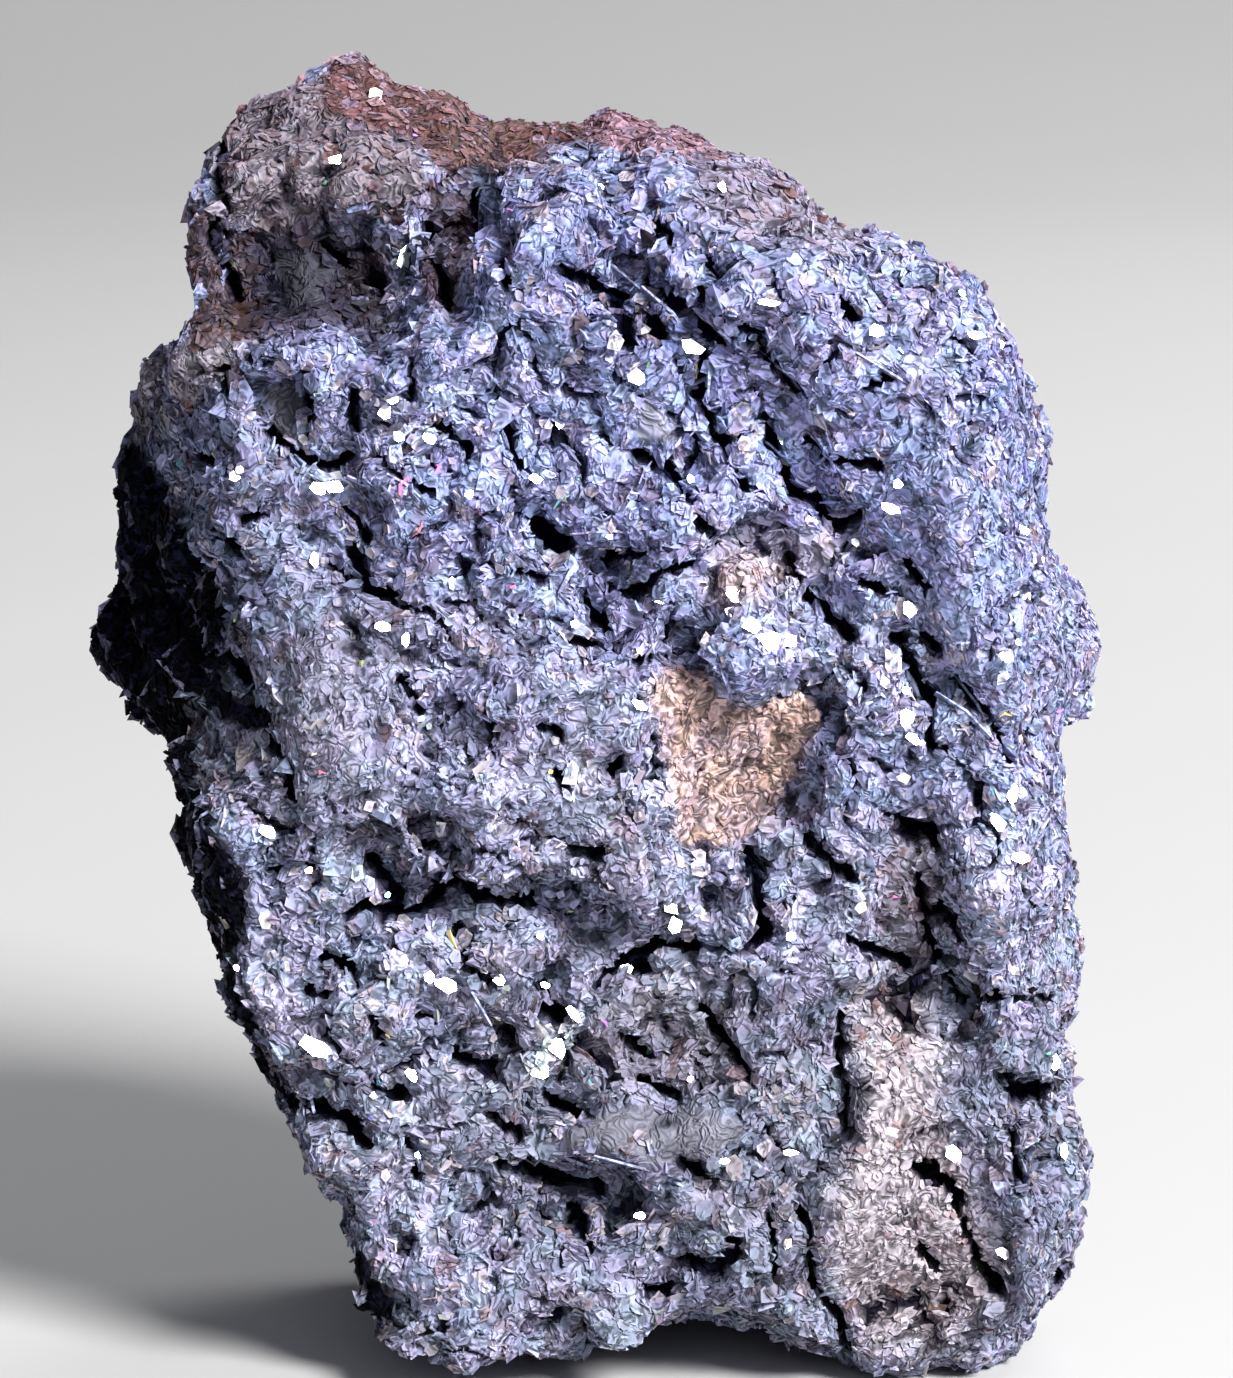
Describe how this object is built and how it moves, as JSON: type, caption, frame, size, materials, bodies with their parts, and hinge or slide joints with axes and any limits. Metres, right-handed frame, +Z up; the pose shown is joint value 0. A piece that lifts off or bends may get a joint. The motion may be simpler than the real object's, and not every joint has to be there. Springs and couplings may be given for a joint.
{
  "type": "specular hematite specimen",
  "caption": "Rough upright lump of flaky silver-grey specular hematite with a rusty pink crust on top and an ochre hollow, resting on a flat foot.",
  "frame": {"origin": "on the surface the rock stands on, under the middle of its bounding box", "axes": "+Z up along the rock's longest side; -Y is the front, the sparkling face with the ochre hollow; +X is to the right seen from the front"},
  "size_m": [0.0738, 0.0506, 0.0928],
  "materials": {
    "hematite": "metallic flakes, sparkling"
  },
  "bodies": {
    "root": {"specular_hematite": "hematite"}
  },
  "joints": []
}
